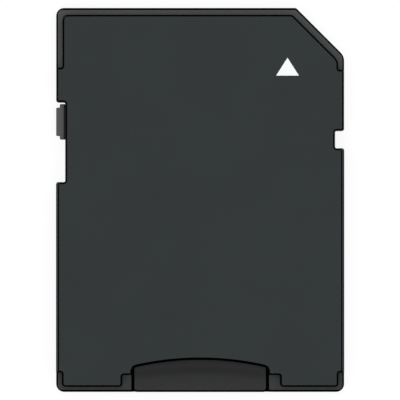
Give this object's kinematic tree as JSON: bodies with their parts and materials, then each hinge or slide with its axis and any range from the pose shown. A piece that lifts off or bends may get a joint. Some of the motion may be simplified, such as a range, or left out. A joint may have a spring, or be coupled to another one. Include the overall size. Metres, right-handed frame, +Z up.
{
  "type": "memory card adapter",
  "caption": "Flat full-size memory card adapter with a small memory card seated in its rear slot, spring contact strips and a sliding write-protect lock",
  "frame": {"origin": "the middle of the resting face on the contact side, on the surface that the adapter lies on", "axes": "+X across the card towards the key chamfer, +Y towards the contact end, +Z up out of the label side"},
  "size_m": [0.024, 0.032, 0.0021],
  "materials": {
    "base_plastic": "fine matte moulded plastic, near black",
    "cover_plastic": "fine grained matte moulded plastic, dark slate grey",
    "insulator": "matte black moulded insulator",
    "contact_metal": "gold plated stamped copper alloy",
    "slider_plastic": "satin moulded plastic, mid grey",
    "spring_steel": "rolled spring steel",
    "white_ink": "white printing ink",
    "card_plastic": "satin moulding compound, black",
    "pad_gold": "gold plated pads"
  },
  "bodies": {
    "housing": {"base_shell": "base_plastic", "top_cover": "cover_plastic", "contact_carrier": "insulator", "contact_data_2": "contact_metal", "contact_data_3": "contact_metal", "contact_command": "contact_metal", "contact_ground": "contact_metal", "contact_supply": "contact_metal", "contact_clock": "contact_metal", "contact_data_0": "contact_metal", "contact_data_1": "contact_metal", "card_latch_spring": "spring_steel", "printed_arrow": "white_ink"},
    "small_card": {"small_card_body": "card_plastic", "small_card_pad_1": "pad_gold", "small_card_pad_2": "pad_gold", "small_card_pad_3": "pad_gold", "small_card_pad_4": "pad_gold", "small_card_pad_5": "pad_gold", "small_card_pad_6": "pad_gold", "small_card_pad_7": "pad_gold", "small_card_pad_8": "pad_gold"},
    "lock": {"lock_slider": "slider_plastic"}
  },
  "joints": [
    {"name": "small_card_slide", "type": "slide", "parent": "housing", "child": "small_card", "axis": [0, -1, 0], "range_m": [0, 0.015], "deforming": ["card_latch_spring"]},
    {"name": "lock_slide", "type": "slide", "parent": "housing", "child": "lock", "axis": [0, -1, 0], "range_m": [0, 0.0034]}
  ]
}
